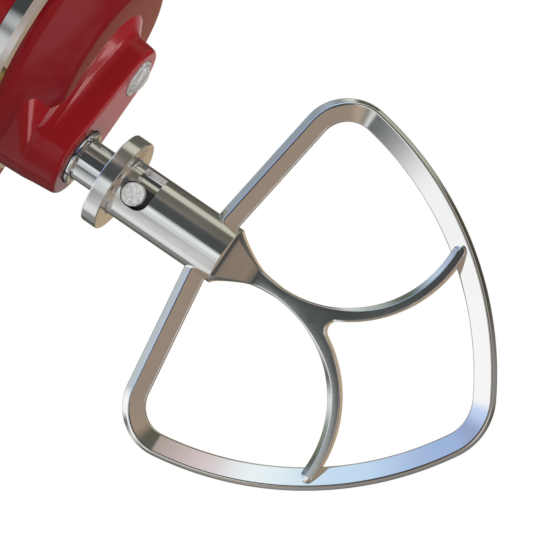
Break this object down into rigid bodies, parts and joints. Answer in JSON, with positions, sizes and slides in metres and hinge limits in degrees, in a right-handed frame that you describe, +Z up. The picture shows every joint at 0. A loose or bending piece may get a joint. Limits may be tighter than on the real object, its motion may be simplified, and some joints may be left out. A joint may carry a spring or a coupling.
{
  "type": "stand mixer",
  "caption": "Tilt-head stand mixer with planetary drive, flat beater and steel bowl, drawn with its head swung open.",
  "frame": {"origin": "middle of the bottom face of the central foot, on the worktop", "axes": "+Z up, -Y towards the head's nose and the bowl, X along the head's hinge pin"},
  "size_m": [0.234, 0.4417, 0.5333],
  "materials": {
    "paint": "gloss enamel on die-cast metal",
    "bright_steel": "polished stainless steel",
    "chrome": "bright chrome plate",
    "machined_steel": "machined and zinc-plated steel",
    "gear_steel": "sintered steel gears",
    "core_steel": "laminated core",
    "copper": "enamelled copper",
    "brass": "sintered bronze and brass",
    "black_plastic": "moulded black plastic",
    "nylon": "natural nylon",
    "carbon": "pressed carbon",
    "board": "circuit board",
    "rubber": "moulded rubber"
  },
  "bodies": {
    "stand": {"base_casting": "paint", "column": "paint", "base_screws": "machined_steel", "rubber_feet": "rubber", "bowl_clamp_plate": "machined_steel", "clamp_screws": "machined_steel", "hinge_pin": "chrome", "hinge_set_screw": "machined_steel", "height_screw": "machined_steel"},
    "bowl": {"bowl": "bright_steel", "bowl_handle": "bright_steel"},
    "head": {"gearcase": "paint", "motor_housing": "paint", "rear_cover": "paint", "cover_screws": "machined_steel", "trim_band": "chrome", "drip_ring": "chrome", "ring_gear": "gear_steel", "stator_core": "core_steel", "stator_windings": "copper", "front_bearing": "machined_steel", "rear_bearing": "machined_steel", "brush_holders": "brass", "carbon_brushes": "carbon", "brush_caps": "black_plastic", "centre_bush": "brass", "layshaft_bracket": "gear_steel", "hub_bezel": "chrome", "hub_bush": "brass", "control_board": "board", "cord_gland": "black_plastic"},
    "motor_rotor": {"motor_shaft": "machined_steel", "armature": "core_steel", "commutator": "copper", "cooling_fan": "black_plastic", "worm": "machined_steel"},
    "layshaft": {"layshaft": "machined_steel", "worm_wheel": "nylon", "layshaft_pinion": "gear_steel"},
    "planetary": {"planetary_housing": "paint", "centre_shaft": "chrome", "centre_gear": "gear_steel", "centre_bevel_gear": "gear_steel", "beater_bush": "brass", "drive_pin": "machined_steel", "shaft_seal": "rubber"},
    "beater_shaft": {"beater_shaft": "chrome", "planet_pinion": "gear_steel", "retaining_ring": "chrome", "beater_pin": "chrome"},
    "beater": {"flat_beater": "bright_steel"},
    "hub_drive": {"hub_drive_shaft": "machined_steel", "hub_bevel_gear": "gear_steel"},
    "hub_cover": {"hub_cover": "chrome"},
    "hub_knob": {"hub_knob": "black_plastic"},
    "speed_lever": {"speed_lever": "chrome", "speed_knob": "black_plastic"},
    "lock_lever": {"lock_lever": "chrome", "lock_knob": "black_plastic"}
  },
  "joints": [
    {"name": "head_tilt", "type": "hinge", "parent": "stand", "child": "head", "pos_m": [0, 0.1, 0.246], "axis": [1, 0, 0], "range_deg": [0, 56]},
    {"name": "planetary_spin", "type": "hinge", "parent": "head", "child": "planetary", "pos_m": [0, -0.01338, 0.38906], "axis": [0, 0.829, 0.5592], "continuous": true},
    {"name": "beater_spin", "type": "hinge", "parent": "planetary", "child": "beater_shaft", "pos_m": [-0.00769, -0.00921, 0.35068], "axis": [0, 0.829, 0.5592], "continuous": true},
    {"name": "beater_seat", "type": "slide", "parent": "beater_shaft", "child": "beater", "axis": [0, 0.829, 0.5592], "range_m": [0, 0.0018]},
    {"name": "motor_spin", "type": "hinge", "parent": "head", "child": "motor_rotor", "pos_m": [0, 0.05958, 0.43827], "axis": [0, 0.5592, -0.829], "continuous": true},
    {"name": "layshaft_spin", "type": "hinge", "parent": "head", "child": "layshaft", "pos_m": [0.025, 0.06996, 0.41572], "axis": [0, 0.829, 0.5592], "continuous": true},
    {"name": "hub_drive_spin", "type": "hinge", "parent": "head", "child": "hub_drive", "pos_m": [0, 0.02602, 0.48801], "axis": [0, -0.5592, 0.829], "continuous": true},
    {"name": "hub_cover_flip", "type": "hinge", "parent": "head", "child": "hub_cover", "pos_m": [0, 0.0251, 0.53141], "axis": [1, 0, 0], "range_deg": [-100, 0]},
    {"name": "hub_knob_turn", "type": "hinge", "parent": "head", "child": "hub_knob", "pos_m": [0, 0.01931, 0.49796], "axis": [1, 0, 0], "continuous": true},
    {"name": "speed_control", "type": "hinge", "parent": "head", "child": "speed_lever", "pos_m": [-0.028, 0.15749, 0.28237], "axis": [0, 0.829, 0.5592], "range_deg": [0, 32]},
    {"name": "head_lock", "type": "slide", "parent": "head", "child": "lock_lever", "axis": [0, 0.5592, -0.829], "range_m": [0, 0.014]},
    {"name": "bowl_turn", "type": "hinge", "parent": "stand", "child": "bowl", "pos_m": [0, -0.082, 0.042], "axis": [0, 0, 1], "range_deg": [0, 30]}
  ],
  "couplings": [
    {"joint": "beater_spin", "follows": "planetary_spin", "ratio": -4.5},
    {"joint": "layshaft_spin", "follows": "planetary_spin", "ratio": -3},
    {"joint": "hub_drive_spin", "follows": "planetary_spin", "ratio": 2},
    {"joint": "motor_spin", "follows": "planetary_spin", "ratio": 90}
  ]
}
